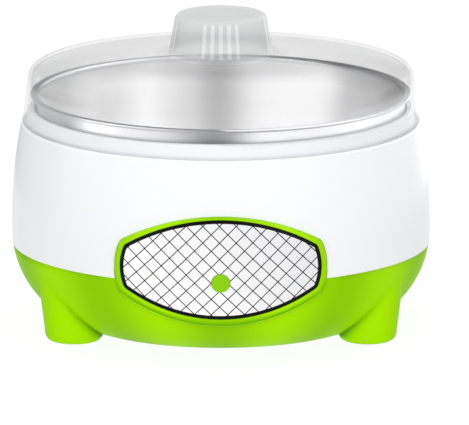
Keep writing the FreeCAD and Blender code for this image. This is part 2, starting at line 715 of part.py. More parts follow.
def inlet_block(half_width, half_height, front, back, rounding):
    """Block around the inlet's axis between two depths, with its long edges rounded."""
    low = INLET_HEIGHT - half_height
    high = INLET_HEIGHT + half_height
    outline = rounded_outline([
        (-half_width, low, rounding),
        (half_width, low, rounding),
        (half_width, high, rounding),
        (-half_width, high, rounding),
    ])
    solid = Part.Face(outline).extrude(BACK * (back - front))
    solid.translate(BACK * front)
    return solid


INLET_FACE_Y = bowl_radius(INLET_HEIGHT, 0)
INLET_PLATE_Y = INLET_FACE_Y - INLET_PLATE
INLET_MOUTH_Y = INLET_FACE_Y + INLET_FLANGE_THICKNESS
INLET_BACK_Y = INLET_FACE_Y - INLET_BODY_DEPTH
SOCKET_FLOOR_Y = INLET_MOUTH_Y - SOCKET_DEPTH
PIN_TIP_Y = INLET_MOUTH_Y - PIN_SET_BACK
PIN_BACK_Y = INLET_BACK_Y - PIN_TAIL


def inlet_surround(wall, front, back):
    """Block as large as the pocket around the inlet's flange, grown by a wall."""
    grow = INLET_POCKET_MARGIN + wall
    return inlet_block(
        INLET_FLANGE_HALF_WIDTH + grow,
        INLET_FLANGE_HALF_HEIGHT + grow,
        front,
        back,
        INLET_FLANGE_ROUND + grow,
    )


def front_pad(drop, set_back, rounding):
    """Pad in the bezel's outline, lowered and set back, rounded where its face meets its sides."""
    pad = panel_block(BEZEL_GROW, drop).common(panel_round(set_back))
    face = max(pad.Faces, key=lambda each: -each.CenterOfMass.y)
    return pad.makeFillet(rounding, face.OuterWire.Edges)


def bezel():
    """Raised frame around the label, above a rounded chin that leads down to the bowl."""
    return joined([front_pad(0, 0, BEZEL_EDGE_ROUND), front_pad(CHIN_DROP, CHIN_SET_BACK, CHIN_ROUND)])


def base_shell():
    feet = [on_circle(FOOT_CIRCLE, angle, FOOT_BOTTOM_Z) for angle in FOOT_ANGLES]
    inlet_root = INLET_FACE_Y - INLET_BOSS_DEPTH
    inlet_boss = inlet_surround(BASE_WALL, inlet_root, INLET_FACE_Y)
    outside = joined([bowl(0), bezel(), inlet_boss] + [foot_lug(foot, 0) for foot in feet])
    hollow = [bowl(BASE_WALL), barrel_inside()]
    hollow += [foot_lug(foot, BASE_WALL) for foot in feet]
    hollow = joined(hollow).cut(inlet_surround(BASE_WALL, INLET_PLATE_Y, BODY_RADIUS))
    inlet_hollow = inlet_surround(0, inlet_root, INLET_PLATE_Y)
    bezel_hollow = panel_block(BEZEL_GROW - BASE_WALL, 0).common(panel_round(POCKET_DEPTH + BASE_WALL))
    pocket = panel_prism(POCKET_GROW).cut(panel_round(POCKET_DEPTH))
    base = outside.cut([hollow, inlet_hollow, bezel_hollow, pocket])

    tongue_outer = shell_radius(SEAM_HEIGHT, SHELL_WALL) - TONGUE_CLEARANCE
    tongue_foot = vector(0, 0, SEAM_HEIGHT - TONGUE_ROOT)
    tongue_top = SEAM_HEIGHT + TONGUE_HEIGHT
    tongue = upright(tongue_outer, tongue_foot, tongue_top)
    tongue = tongue.cut([upright(tongue_outer - TONGUE_WALL, tongue_foot, tongue_top), bezel_hollow])
    base = joined([base, tongue] + [upright(BOSS_RADIUS, foot, BOSS_TOP_Z) for foot in feet])

    inlet_window = inlet_block(
        INLET_BODY_HALF_WIDTH + INLET_BODY_CLEARANCE,
        INLET_BODY_HALF_HEIGHT + INLET_BODY_CLEARANCE,
        INLET_PLATE_Y,
        INLET_FACE_Y,
        INLET_BODY_ROUND,
    )
    cuts = [inlet_surround(0, INLET_FACE_Y, BODY_RADIUS), inlet_window, lens_hole()]
    for foot in feet:
        cuts.append(upright(SCREW_RADIUS + SCREW_PASS_CLEARANCE, foot, BOSS_TOP_Z))
        cuts.append(upright(SCREW_HEAD_BORE, foot, SCREW_SEAT_Z))
        cuts.append(upright(PLUG_RADIUS + PLUG_CLEARANCE, foot, FOOT_BOTTOM_Z + PLUG_SINK))
    return base.cut(cuts)


def foot_plug(foot):
    rim = vector(foot.x, foot.y, 0)
    disc = upright(PLUG_RADIUS, rim, FOOT_BOTTOM_Z + PLUG_SINK)
    disc = disc.makeFillet(PLUG_EDGE_ROUND, [edge for edge in disc.Edges if edge.BoundBox.ZMax < 1e-4])
    stem_top = FOOT_BOTTOM_Z + PLUG_SINK + PLUG_STEM_LENGTH
    return joined([disc, upright(SCREW_HEAD_BORE - PLUG_CLEARANCE, rim + UP * PLUG_SINK, stem_top)])


def foot_plugs():
    return Part.Compound([foot_plug(on_circle(FOOT_CIRCLE, angle, 0)) for angle in FOOT_ANGLES])


def base_screw(foot):
    """Pan-head screw, driven upwards, with a cross recess in its head."""
    head_bottom = SCREW_SEAT_Z - SCREW_HEAD_HEIGHT
    shank_top = SCREW_SEAT_Z + SCREW_LENGTH
    screw = turned([
        (0, head_bottom, 0),
        (SCREW_HEAD_RADIUS, head_bottom, SCREW_HEAD_HEIGHT / 2),
        (SCREW_HEAD_RADIUS, SCREW_SEAT_Z, 0),
        (SCREW_RADIUS, SCREW_SEAT_Z, 0),
        (SCREW_RADIUS, shank_top - SCREW_TIP, 0),
        (0, shank_top, 0),
    ])
    half_length = SCREW_RECESS_LENGTH / 2
    half_width = SCREW_RECESS_WIDTH / 2
    for half_x, half_y in ((half_length, half_width), (half_width, half_length)):
        low = vector(-half_x, -half_y, head_bottom)
        screw = screw.cut(block(low, vector(half_x, half_y, head_bottom + SCREW_RECESS_DEPTH)))
    screw.translate(foot)
    return screw


def base_screws():
    return Part.Compound([base_screw(on_circle(FOOT_CIRCLE, angle, 0)) for angle in FOOT_ANGLES])


def lens_hole():
    """Round hole through the label and the bezel for the lamp's lens."""
    front = vector(0, -PANEL_RADIUS, LENS_Z)
    return lying(LENS_RADIUS + LENS_CLEARANCE, front, PANEL_DEPTH / 2 - PANEL_RADIUS)


def panel_label():
    film = panel_prism(0).common(panel_round(LABEL_RECESS)).cut(panel_round(LABEL_BACK))
    return film.cut(lens_hole())


LENS_FRONT_Y = -(panel_radius(LENS_Z, LABEL_RECESS) + LENS_PROUD)
LENS_FLANGE_Y = LENS_FLANGE_GAP - panel_radius(LENS_Z - LENS_FLANGE_RADIUS, POCKET_DEPTH + BASE_WALL)
LAMP_FRONT_Y = LENS_FRONT_Y + LENS_FRONT_WALL + LAMP_CLEARANCE
LAMP_BACK_Y = LAMP_FRONT_Y + LAMP_LENGTH


def indicator_lens():
    axis_front = vector(0, LENS_FRONT_Y, LENS_Z)
    flange_back = LENS_FLANGE_Y + LENS_FLANGE_THICKNESS
    bore = LAMP_RADIUS + LAMP_CLEARANCE
    plug = lying(LENS_RADIUS, axis_front, flange_back)
    front_rim = [edge for edge in plug.Edges if edge.BoundBox.YMax < LENS_FRONT_Y + 1e-4]
    plug = plug.makeFillet(LENS_EDGE_ROUND, front_rim)
    flange = lying(LENS_FLANGE_RADIUS, vector(0, LENS_FLANGE_Y, LENS_Z), flange_back)
    sleeve = lying(bore + LENS_SLEEVE_WALL, vector(0, LENS_FLANGE_Y, LENS_Z), LAMP_BACK_Y)
    hollow = lying(bore, vector(0, LENS_FRONT_Y + LENS_FRONT_WALL, LENS_Z), LAMP_BACK_Y)
    return joined([plug, flange, sleeve]).cut(hollow)


def indicator_lamp():
    bulb = lying(LAMP_RADIUS, vector(0, LAMP_FRONT_Y, LENS_Z), LAMP_BACK_Y)
    tip = [edge for edge in bulb.Edges if edge.BoundBox.YMax < LAMP_FRONT_Y + 1e-4]
    return bulb.makeFillet(LAMP_RADIUS / 2, tip)


def power_inlet():
    flange = inlet_block(
        INLET_FLANGE_HALF_WIDTH,
        INLET_FLANGE_HALF_HEIGHT,
        INLET_FACE_Y,
        INLET_MOUTH_Y,
        INLET_FLANGE_ROUND,
    )
    body = inlet_block(
        INLET_BODY_HALF_WIDTH,
        INLET_BODY_HALF_HEIGHT,
        INLET_BACK_Y,
        INLET_FACE_Y,
        INLET_BODY_ROUND,
    )
    barbs = [inlet_barb(side) for side in (-1, 1)]
    waist = inlet_block(PIN_HALF_SPACING, SOCKET_WAIST_HALF_HEIGHT, SOCKET_FLOOR_Y, INLET_MOUTH_Y, 0)
    hollow = [waist]
    for x in (-PIN_HALF_SPACING, PIN_HALF_SPACING):
        hollow.append(lying(SOCKET_LOBE_RADIUS, vector(x, SOCKET_FLOOR_Y, INLET_HEIGHT), INLET_MOUTH_Y))
        hollow.append(lying(PIN_SHANK_RADIUS, vector(x, INLET_BACK_Y, INLET_HEIGHT), SOCKET_FLOOR_Y))
    return joined([flange, body] + barbs).cut(hollow)


def inlet_barb(side):
    """Wedge that snaps behind the mounting plate; it tapers away towards the inside."""
    root = side * INLET_BODY_HALF_WIDTH
    tip = side * (INLET_BODY_HALF_WIDTH + INLET_BARB)
    bottom = INLET_HEIGHT - INLET_BARB_HALF_HEIGHT
    shoulder = INLET_PLATE_Y - INLET_BODY_CLEARANCE
    corners = [
        vector(root, shoulder, bottom),
        vector(tip, shoulder, bottom),
        vector(root, shoulder - INLET_BARB_LENGTH, bottom),
        vector(root, shoulder, bottom),
    ]
    return Part.Face(Part.makePolygon(corners)).extrude(UP * (2 * INLET_BARB_HALF_HEIGHT))


def inlet_pins():
    pins = []
    for x in (-PIN_HALF_SPACING, PIN_HALF_SPACING):
        free_end = lying(PIN_RADIUS, vector(x, SOCKET_FLOOR_Y, INLET_HEIGHT), PIN_TIP_Y)
        tip = [edge for edge in free_end.Edges if edge.BoundBox.YMin > PIN_TIP_Y - 1e-4]
        free_end = free_end.makeFillet(PIN_TIP_ROUND, tip)
        shank = lying(PIN_SHANK_RADIUS, vector(x, INLET_BACK_Y, INLET_HEIGHT), SOCKET_FLOOR_Y)
        tail = lying(PIN_TAIL_RADIUS, vector(x, PIN_BACK_Y, INLET_HEIGHT), INLET_BACK_Y)
        pins.append(joined([free_end, shank, tail]))
    return Part.Compound(pins)


def lead(points, radius):
    """Insulated lead: straight runs joined by tangent arcs, each as large as its runs allow."""
    places = [vector(*point) for point in points]
    edges = []
    start = places[0]
    for last, here, after in zip(places, places[1:], places[2:]):
        to_last = last - here
        to_next = after - here
        reach = LEAD_BEND_SHARE * min(to_last.Length, to_next.Length)
        to_last.normalize()
        to_next.normalize()
        half_angle = to_last.getAngle(to_next) / 2
        bend = reach * math.tan(half_angle)
        middle = here + (to_last + to_next).normalize() * (bend / math.sin(half_angle) - bend)
        bend_start = here + to_last * reach
        bend_end = here + to_next * reach
        edges.append(Part.LineSegment(start, bend_start).toShape())
        edges.append(Part.Arc(bend_start, middle, bend_end).toShape())
        start = bend_end
    edges.append(Part.LineSegment(start, places[-1]).toShape())
    route = Part.Wire(edges)
    section = Part.Wire(Part.Circle(places[0], places[1] - places[0], radius).toShape())
    tube = route.makePipeShell([section], True, False)
    expected = math.pi * radius ** 2 * route.Length
    bends = [edge.Curve.Radius for edge in edges if isinstance(edge.Curve, Part.Circle)]
    print(f"lead: volume {tube.Volume / expected:.4f} of section times length, least bend {min(bends):.1f}")
    return tube


def splice_entry(side, offset):
    """Last two points of a lead that enters a splice from the back, beside its axis."""
    x = side * SPLICE_X + offset
    return [(x, SPLICE_Y + SPLICE_RUN_IN, SPLICE_Z), (x, SPLICE_Y - SPLICE_PUSH_IN, SPLICE_Z)]


def live_lead():
    return lead([
        (-PIN_HALF_SPACING, PIN_BACK_Y, INLET_HEIGHT),
        (-PIN_HALF_SPACING, PIN_BACK_Y - LEAD_RUN_OUT, INLET_HEIGHT),
        (-14.0, 44.0, 29.0),
        (-24.0, 34.0, 36.5),
        (FUSE_X, FUSE_Y + FUSE_LENGTH / 2 + LEAD_RUN_OUT, FUSE_Z),
        (FUSE_X, FUSE_Y + FUSE_LENGTH / 2, FUSE_Z),
    ], LEAD_RADIUS)


def fuse_lead():
    return lead([
        (FUSE_X, FUSE_Y - FUSE_LENGTH / 2, FUSE_Z),
        (FUSE_X, FUSE_Y - FUSE_LENGTH / 2 - LEAD_RUN_OUT, FUSE_Z),
        (-26.0, -21.0, 34.5),
        (-20.0, -29.0, 29.5),
    ] + splice_entry(-1, -LEAD_RADIUS), LEAD_RADIUS)


def heater_leads():
    leads = []
    for side in (-1, 1):
        x = side * HEATER_LEAD_HALF_SPACING
        leads.append(lead([
            (x, HEATER_FRONT_Y, HEATER_LEAD_Z),
            (x, HEATER_FRONT_Y - LEAD_RUN_OUT, HEATER_LEAD_Z),
            (side * 8.5, HEATER_FRONT_Y - 15.0, 32.5),
        ] + splice_entry(side, -side * LEAD_RADIUS), LEAD_RADIUS))
    return Part.Compound(leads)


def neutral_lead():
    return lead([
        (PIN_HALF_SPACING, PIN_BACK_Y, INLET_HEIGHT),
        (PIN_HALF_SPACING, PIN_BACK_Y - LEAD_RUN_OUT, INLET_HEIGHT),
        (17.0, 42.0, 23.0),
        (24.0, 28.0, 24.0),
        (27.0, 12.0, 25.0),
        (26.0, -5.0, 26.0),
        (22.0, -19.0, 27.0),
        (17.5, -29.0, 28.0),
    ] + splice_entry(1, LEAD_RADIUS), LEAD_RADIUS)


def lamp_leads():
    splice_front = SPLICE_Y - SPLICE_LENGTH
    resistor_back = splice_front - RESISTOR_SET_OFF
    leads = [
        lead([
            (-SPLICE_X, splice_front + SPLICE_PUSH_IN, SPLICE_Z),
            (-SPLICE_X, splice_front - LAMP_LEAD_RUN_OUT, SPLICE_Z),
            (-10.5, -69.0, 30.0),
        ] + lamp_entry(-1), LAMP_LEAD_RADIUS),
        lying(LAMP_LEAD_RADIUS, vector(SPLICE_X, resistor_back, SPLICE_Z), splice_front + SPLICE_PUSH_IN),
        lead([
            (SPLICE_X, resistor_back - RESISTOR_LENGTH, SPLICE_Z),
            (SPLICE_X, resistor_back - RESISTOR_LENGTH - LAMP_LEAD_RUN_OUT, SPLICE_Z),
            (9.5, -76.5, 31.0),
        ] + lamp_entry(1), LAMP_LEAD_RADIUS),
    ]
    return Part.Compound(leads)


def lamp_entry(side):
    """Last points of a lead that rises behind the panel and meets the back of the lamp."""
    x = side * LAMP_LEAD_HALF_SPACING
    return [
        (side * 3.5, -77.5, 34.5),
        (x, LAMP_BACK_Y + LAMP_LEAD_RUN_OUT, LENS_Z),
        (x, LAMP_BACK_Y, LENS_Z),
    ]


def lamp_resistor():
    back = SPLICE_Y - SPLICE_LENGTH - RESISTOR_SET_OFF
    return lying(RESISTOR_RADIUS, vector(SPLICE_X, back, SPLICE_Z), back - RESISTOR_LENGTH)


def splice_sleeves():
    sleeves = []
    for side in (-1, 1):
        start = vector(side * SPLICE_X, SPLICE_Y, SPLICE_Z)
        outer = lying(SPLICE_RADIUS, start, SPLICE_Y - SPLICE_LENGTH)
        sleeves.append(outer.cut(lying(SPLICE_BORE, start, SPLICE_Y - SPLICE_LENGTH)))
    return Part.Compound(sleeves)


PIECES = [
    outer_lid,
    inner_pot,
    body_shell,
    inner_well,
    base_shell,
    panel_label,
    indicator_lens,
    foot_plugs,
    base_screws,
    power_inlet,
    inlet_pins,
    heating_plate,
    plate_gasket,
    plate_nuts,
    ptc_heater,
    heater_clamp,
    clamp_nuts,
    thermal_fuse,
    fuse_clip,
    indicator_lamp,
    lamp_resistor,
    live_lead,
    fuse_lead,
    heater_leads,
    neutral_lead,
    lamp_leads,
    splice_sleeves,
]

os.makedirs("parts", exist_ok=True)
for piece in PIECES:
    piece().exportStep(f"parts/{piece.__name__}.step")
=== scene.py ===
import math

import bpy
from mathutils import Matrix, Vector


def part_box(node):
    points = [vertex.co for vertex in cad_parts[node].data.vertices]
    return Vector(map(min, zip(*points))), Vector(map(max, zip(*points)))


# A round yogurt maker on a white table: clear lid, steel pot, white shell, green base and a printed label.
# Metres, +Z up, the front faces -Y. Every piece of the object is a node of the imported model.

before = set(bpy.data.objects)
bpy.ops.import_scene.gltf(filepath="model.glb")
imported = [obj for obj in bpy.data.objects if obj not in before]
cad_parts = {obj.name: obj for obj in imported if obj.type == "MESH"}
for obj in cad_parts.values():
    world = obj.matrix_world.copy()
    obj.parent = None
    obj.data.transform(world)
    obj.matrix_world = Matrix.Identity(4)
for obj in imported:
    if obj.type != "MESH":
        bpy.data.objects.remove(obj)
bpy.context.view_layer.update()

MILLIMETRE = 0.001
WHITE = (1.0, 1.0, 1.0, 1.0)

# The photograph's frame and view
IMAGE_WIDTH_PX = 469
PIXELS_PER_METRE = 2259.5
VIEW_ELEVATION = 12.2
VIEW_TARGET = Vector((0.006, 0.0, 0.0496))
CAMERA_DISTANCE = 5.0
SENSOR_WIDTH_MM = 36.0

# The white room and the table: the light they give to surfaces, and how bright and large the table is
WORLD_FILL = 0.6
FLOOR_FILL = 0.72
FLOOR_GLOW = 0.93
FLOOR_SHADE = 0.1
FLOOR_RADIUS = 30.0
FLOOR_CORNERS = 64

# Lamps: the place of each, its width and height, and its power in watts
LAMPS = {
    "front_left": ((-0.65, -1.9, 0.45), 1.4, 0.7, 7.5),
    "front_right": ((0.65, -1.9, 0.45), 1.4, 0.7, 6.8),
    "rear": ((0.0, 1.9, 0.45), 2.0, 0.7, 7.0),
    "overhead": ((0.0, 0.1, 2.4), 1.6, 1.6, 24.0),
}

# The grey ring that gloss reflects, with two plain walls below its rear half
RING_RADIUS = 0.4
RING_SEAM = 95.0
FRONT_RING_TOP = 0.9
REAR_RING_TOP = 2.0
WALL_TOP = 0.4
WALL_SEAM = 160.0
RIGHT_WALL = 2.2
REAR_WALL = 0.45
CARD_STEPS = 48

# How bright the ring is at each angle, in degrees from the front to the right
RING_LEVELS = (
    (-180.0, 0.4),
    (-165.0, 0.1),
    (-120.0, 0.1),
    (-105.0, 0.3),
    (-92.0, 1.0),
    (-80.0, 2.9),
    (-60.0, 1.9),
    (-35.0, 1.5),
    (-20.0, 0.8),
    (-10.0, 0.2),
    (0.0, 0.0),
    (10.0, 0.7),
    (20.0, 2.0),
    (35.0, 1.9),
    (60.0, 1.8),
    (90.0, 2.5),
    (165.0, 2.9),
    (180.0, 0.4),
)
BRIGHTEST = 3.0

# Patches of uneven colour, gloss and grain
COLOUR_DRIFT = 40.0 * MILLIMETRE
GLOSS_PATCH = 6.0 * MILLIMETRE
MOULD_GRAIN = 0.8 * MILLIMETRE
METAL_GRAIN = 0.5 * MILLIMETRE
BRUSH_LINE = 0.35 * MILLIMETRE
BRUSH_STRETCH = (0.02, 0.02, 1.0)
LID_GLOSS_PATCH = 15.0 * MILLIMETRE
BULB_GLOSS_PATCH = 2.0 * MILLIMETRE
LENS_DRIFT = 3.0 * MILLIMETRE

# The clear lid's film: how much of it shows face on and at a slant, and where it thickens in between
lid_low, lid_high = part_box("outer_lid")
LID_RIM = lid_low[2]
LID_TOP = lid_high[2]
FILM_FACE_ON = 0.02
FILM_AT_SLANT = 0.17
FILM_START = 0.68
FILM_END = 0.75
FILM_AT_RIM = 0.07
LID_RIM_BAND = 1.6 * MILLIMETRE

# The pale haze of the lid's skirt, which grows as the skirt turns away
SKIRT_HAZE = 0.22
HAZE_START = 0.1
HAZE_END = 0.65
SKIRT_BEND = 16.0 * MILLIMETRE
SKIRT_TOP = 20.0 * MILLIMETRE

# The knob's milky film, and the groups of painted highlight streaks down its wall
KNOB_HEIGHT = 17.6 * MILLIMETRE
KNOB_ROOT = LID_TOP - KNOB_HEIGHT
KNOB_EDGE = 1.0 * MILLIMETRE
KNOB_FILM = 0.66
KNOB_PALE = 0.47
STREAK_HIGHLIGHT = 0.74
STREAK_GROUPS = 4
STREAKS_AROUND = 36
STREAK_FADE = 2.5 * MILLIMETRE
STREAK_END = 0.5 * MILLIMETRE
GROUP_EDGE = (-0.15, 0.05)
STREAK_EDGE = (-0.6, 0.4)
BETWEEN_STREAKS = 0.3

# Painted shade on the pot's outside and in the darker band at its rim
POT_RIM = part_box("inner_pot")[1][2]
RIM_SHADE_BAND = 3.0 * MILLIMETRE
OUTSIDE_SHADE = 0.5
OUTSIDE_SHADE_EDGE = 0.3

# Painted reflection: soft upright bands of lighter green, counted around the base; and the soft creases at
# its feet
REFLECTION_BANDS = 10
CREASE_ROUND = 6.0 * MILLIMETRE
CREASE_START = 48.0 * MILLIMETRE
CREASE_END = 54.0 * MILLIMETRE
CREASE_SAMPLES = 8

# Painted shade under the bezel's lower lip: how far outside the label it turns under, and where up the
# label it fades out
LIP_START = 1.2 * MILLIMETRE
LIP_TURNED = 2.8 * MILLIMETRE
LIP_END = 3.3 * MILLIMETRE
LIP_FULL = 0.15
LIP_GONE = 0.4

# Painted shade: the deeper green of inner corners
CORNER_REACH = 6.0 * MILLIMETRE
CORNER_DEEP = 0.6
CORNER_OPEN = 0.97
CORNER_SAMPLES = 16

# The label's outline of two long arcs and two side arcs, and its print
label_low, label_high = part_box("panel_label")
LABEL_HALF_WIDTH = (label_high[0] - label_low[0]) / 2
LABEL_BOTTOM = label_low[2]
LABEL_HEIGHT = label_high[2] - label_low[2]
LABEL_LONG_ARC = 75.5 * MILLIMETRE
LABEL_SIDE_ARC = 25.0 * MILLIMETRE
LABEL_BORDER = 1.55 * MILLIMETRE
LATTICE_PITCH = 7.25 * MILLIMETRE
LATTICE_LINE = 0.43 * MILLIMETRE
CROSSING_ACROSS = -0.5 * MILLIMETRE
CROSSING_UP = 63.5 * MILLIMETRE
SILVER_REACH = 50.0 * MILLIMETRE


def linear(red, green, blue):
    """Scene-linear colour from the 0 to 255 values of a picture."""
    def channel(value):
        share = value / 255
        if share <= 0.04045:
            return share / 12.92
        return ((share + 0.055) / 1.055) ** 2.4

    return (channel(red), channel(green), channel(blue), 1.0)


def darker(colour, share):
    """The colour with this share of its light."""
    return tuple(share * channel for channel in colour)


def new_material(name):
    """A node material with its tree and its Principled shader."""
    material = bpy.data.materials.new(name)
    material.use_nodes = True
    tree = material.node_tree
    return material, tree, tree.nodes["Principled BSDF"]


def link_value(tree, socket, value):
    """Link another node's socket to this one, or set this one to a number or colour."""
    if isinstance(value, bpy.types.NodeSocket):
        tree.links.new(value, socket)
    else:
        socket.default_value = value


def set_inputs(tree, node, **values):
    """Set or link a node's inputs. Their names have _ in place of spaces."""
    for name, value in values.items():
        link_value(tree, node.inputs[name.replace("_", " ")], value)


def object_point(tree):
    """Socket with the point in the part's own frame, in metres."""
    return tree.nodes.new("ShaderNodeTexCoord").outputs["Object"]


def coordinates(tree, vector):
    """Sockets with how far a point or direction goes to the right, to the back and up."""
    node = tree.nodes.new("ShaderNodeSeparateXYZ")
    set_inputs(tree, node, Vector=vector)
    return node.outputs["X"], node.outputs["Y"], node.outputs["Z"]


def calculate(tree, operation, *values):
    """Socket with the result of a Math node on numbers or sockets."""
    node = tree.nodes.new("ShaderNodeMath")
    node.operation = operation
    for socket, value in zip(node.inputs, values):
        link_value(tree, socket, value)
    return node.outputs["Value"]


def combined(tree, operation, values):
    """Socket with one Math operation carried along a row of sockets."""
    result, *others = values
    for other in others:
        result = calculate(tree, operation, result, other)
    return result


def length(tree, first, second):
    """Distance from two legs at right angles."""
    squares = [calculate(tree, "MULTIPLY", leg, leg) for leg in (first, second)]
    return calculate(tree, "SQRT", combined(tree, "ADD", squares))


def stretched(tree, point, scale):
    """The point with its axes scaled, for grain that runs one way."""
    node = tree.nodes.new("ShaderNodeMapping")
    set_inputs(tree, node, Vector=point, Scale=scale)
    return node.outputs["Vector"]


def noise(tree, point, size, detail=2.0):
    """Noise between 0 and 1 whose patches are about this large."""
    node = tree.nodes.new("ShaderNodeTexNoise")
    set_inputs(tree, node, Vector=point, Scale=1 / size, Detail=detail)
    return node.outputs["Fac"]


def between(tree, value, low, high, start=0.0, end=1.0):
    """Number that runs from low to high as the value runs from the start to the end."""
    node = tree.nodes.new("ShaderNodeMapRange")
    set_inputs(tree, node, Value=value, From_Min=start, From_Max=end, To_Min=low, To_Max=high)
    return node.outputs["Result"]


def uneven(tree, pattern, middle, spread):
    """Number that strays from its middle value by up to this share of it."""
    return between(tree, pattern, middle * (1 - spread), middle * (1 + spread))


def mixed(tree, share, first, second, kind="RGBA"):
    """Socket with a blend of two colours, or of two directions."""
    node = tree.nodes.new("ShaderNodeMix")
    node.data_type = kind
    set_inputs(tree, node, Factor=share, A=first, B=second)
    return node.outputs["Result"]


def bumps(tree, height, depth):
    """Socket with the surface direction over a fine relief."""
    node = tree.nodes.new("ShaderNodeBump")
    set_inputs(tree, node, Height=height, Distance=depth)
    return node.outputs["Normal"]


def surface_turn(tree, point, normal):
    """Sockets with how far the surface faces away from the object's axis, and how far it faces up."""
    across, back, _ = coordinates(tree, point)
    across_normal, back_normal, up_normal = coordinates(tree, normal)
    along_across = calculate(tree, "MULTIPLY", across, across_normal)
    along_radius = calculate(tree, "MULTIPLY_ADD", back, back_normal, along_across)
    outward = calculate(tree, "DIVIDE", along_radius, length(tree, across, back))
    return outward, up_normal


def moulded_plastic(name, colour, shade, roughness, grain_depth, shine=0.5):
    """Moulded plastic: a faint drift of colour, uneven gloss and the mould's fine grain."""
    material, tree, shader = new_material(name)
    point = object_point(tree)
    drift = noise(tree, point, COLOUR_DRIFT)
    gloss = noise(tree, point, GLOSS_PATCH, detail=3.0)
    grain = noise(tree, point, MOULD_GRAIN)
    set_inputs(
        tree,
        shader,
        Base_Color=mixed(tree, drift, colour, shade),
        Roughness=uneven(tree, gloss, roughness, spread=0.15),
        Specular_IOR_Level=shine,
        Normal=bumps(tree, grain, grain_depth),
    )
    return material


def white_plastic():
    """Glossy white moulding."""
    return moulded_plastic(
        "white_plastic",
        colour=linear(247, 248, 250),
        shade=linear(245, 246, 249),
        roughness=0.25,
        grain_depth=0.004 * MILLIMETRE,
        shine=0.08,
    )


def soft_material(name, colour, roughness):
    """Rubber, silicone or soft insulation: matt with a fine grain."""
    shade = darker(colour, share=0.9)
    return moulded_plastic(name, colour, shade, roughness, grain_depth=0.01 * MILLIMETRE)


def painted_reflection_bands(tree, point):
    """Share of painted reflection between 0 and 1 that swings softly around the base, lowest at the front.
    """
    across, back, _ = coordinates(tree, point)
    turn = calculate(tree, "ARCTAN2", across, back)
    swing = calculate(tree, "COSINE", calculate(tree, "MULTIPLY", turn, REFLECTION_BANDS))
    return between(tree, swing, 1.0, 0.0, -1.0, 1.0)


def softened_creases(tree, point):
    """Surface direction that runs smoothly from the bowl into the feet."""
    across, _, _ = coordinates(tree, point)
    share = between(tree, calculate(tree, "ABSOLUTE", across), 0.0, 1.0, CREASE_START, CREASE_END)
    plain = tree.nodes.new("ShaderNodeNewGeometry")
    soft = tree.nodes.new("ShaderNodeBevel")
    soft.samples = CREASE_SAMPLES
    set_inputs(tree, soft, Radius=CREASE_ROUND)
    return mixed(tree, share, plain.outputs["Normal"], soft.outputs["Normal"], kind="VECTOR")


def label_depth(tree, across, up):
    """How far a point lies inside the label's outline: less than 0 outside it."""
    half_height = LABEL_HEIGHT / 2
    side = calculate(tree, "ABSOLUTE", across)
    rise = calculate(tree, "ABSOLUTE", calculate(tree, "SUBTRACT", up, LABEL_BOTTOM + half_height))
    over_long = calculate(tree, "ADD", rise, LABEL_LONG_ARC - half_height)
    in_long = calculate(tree, "SUBTRACT", LABEL_LONG_ARC, length(tree, side, over_long))
    past_side = calculate(tree, "SUBTRACT", side, LABEL_HALF_WIDTH - LABEL_SIDE_ARC)
    in_side = calculate(tree, "SUBTRACT", LABEL_SIDE_ARC, length(tree, past_side, rise))
    # The side arcs count only near the label's ends, and elsewhere a metre lifts them out of the way
    away_from_end = calculate(tree, "LESS_THAN", past_side, LABEL_SIDE_ARC / 2)
    in_side = calculate(tree, "ADD", in_side, away_from_end)
    return calculate(tree, "MINIMUM", in_long, in_side)


def lip_shade_share(tree, point):
    """1 where painted shade lies on the bezel's lower lip as it turns under, and 0 elsewhere."""
    across, back, up = coordinates(tree, point)
    depth = label_depth(tree, across, up)
    full = LABEL_BOTTOM + LABEL_HEIGHT * LIP_FULL
    gone = LABEL_BOTTOM + LABEL_HEIGHT * LIP_GONE
    shares = (
        between(tree, depth, 1.0, 0.0, -LIP_TURNED, -LIP_START),
        calculate(tree, "GREATER_THAN", depth, -LIP_END),
        between(tree, up, 1.0, 0.0, full, gone),
        calculate(tree, "LESS_THAN", back, 0.0),
    )
    return combined(tree, "MULTIPLY", shares)


def corner_shade_share(tree):
    """Painted shade: 1 deep in an inner corner of the moulding, and 0 on open surfaces."""
    node = tree.nodes.new("ShaderNodeAmbientOcclusion")
    node.samples = CORNER_SAMPLES
    node.only_local = True
    set_inputs(tree, node, Distance=CORNER_REACH)
    return between(tree, node.outputs["AO"], 1.0, 0.0, CORNER_DEEP, CORNER_OPEN)


def green_plastic():
    """Lime green moulding with painted reflection bands around it, and painted shade in its inner corners
    and under its lip.
    """
    material, tree, shader = new_material("green_plastic")
    point = object_point(tree)
    green = linear(144, 207, 2)
    # Painted reflection: the lighter green of the bands around the base
    highlight_green = linear(170, 234, 2)
    # Painted shade: the deeper green of the inner corners and of the bezel's lower lip
    painted_shade_green = linear(108, 182, 2)
    bands = mixed(tree, painted_reflection_bands(tree, point), green, highlight_green)
    shade = calculate(tree, "MAXIMUM", corner_shade_share(tree), lip_shade_share(tree, point))
    gloss = noise(tree, point, GLOSS_PATCH, detail=3.0)
    set_inputs(
        tree,
        shader,
        Base_Color=mixed(tree, shade, bands, painted_shade_green),
        Roughness=uneven(tree, gloss, middle=0.4, spread=0.1),
        Specular_IOR_Level=0.015,
        Normal=softened_creases(tree, point),
    )
    return material


def on_skirt(tree, up):
    """1 on the lid's skirt, and 0 on its dome."""
    return between(tree, up, 1.0, 0.0, LID_RIM + SKIRT_BEND, LID_RIM + SKIRT_TOP)


def at_lid_rim(tree, up):
    """1 at the lid's lower rim, and 0 above it."""
    return between(tree, up, 1.0, 0.0, LID_RIM + LID_RIM_BAND / 2, LID_RIM + LID_RIM_BAND)


def on_knob(tree, up, level):
    """The level on the knob, and 0 below its root."""
    return between(tree, up, 0.0, level, KNOB_ROOT - KNOB_EDGE, KNOB_ROOT + KNOB_EDGE)


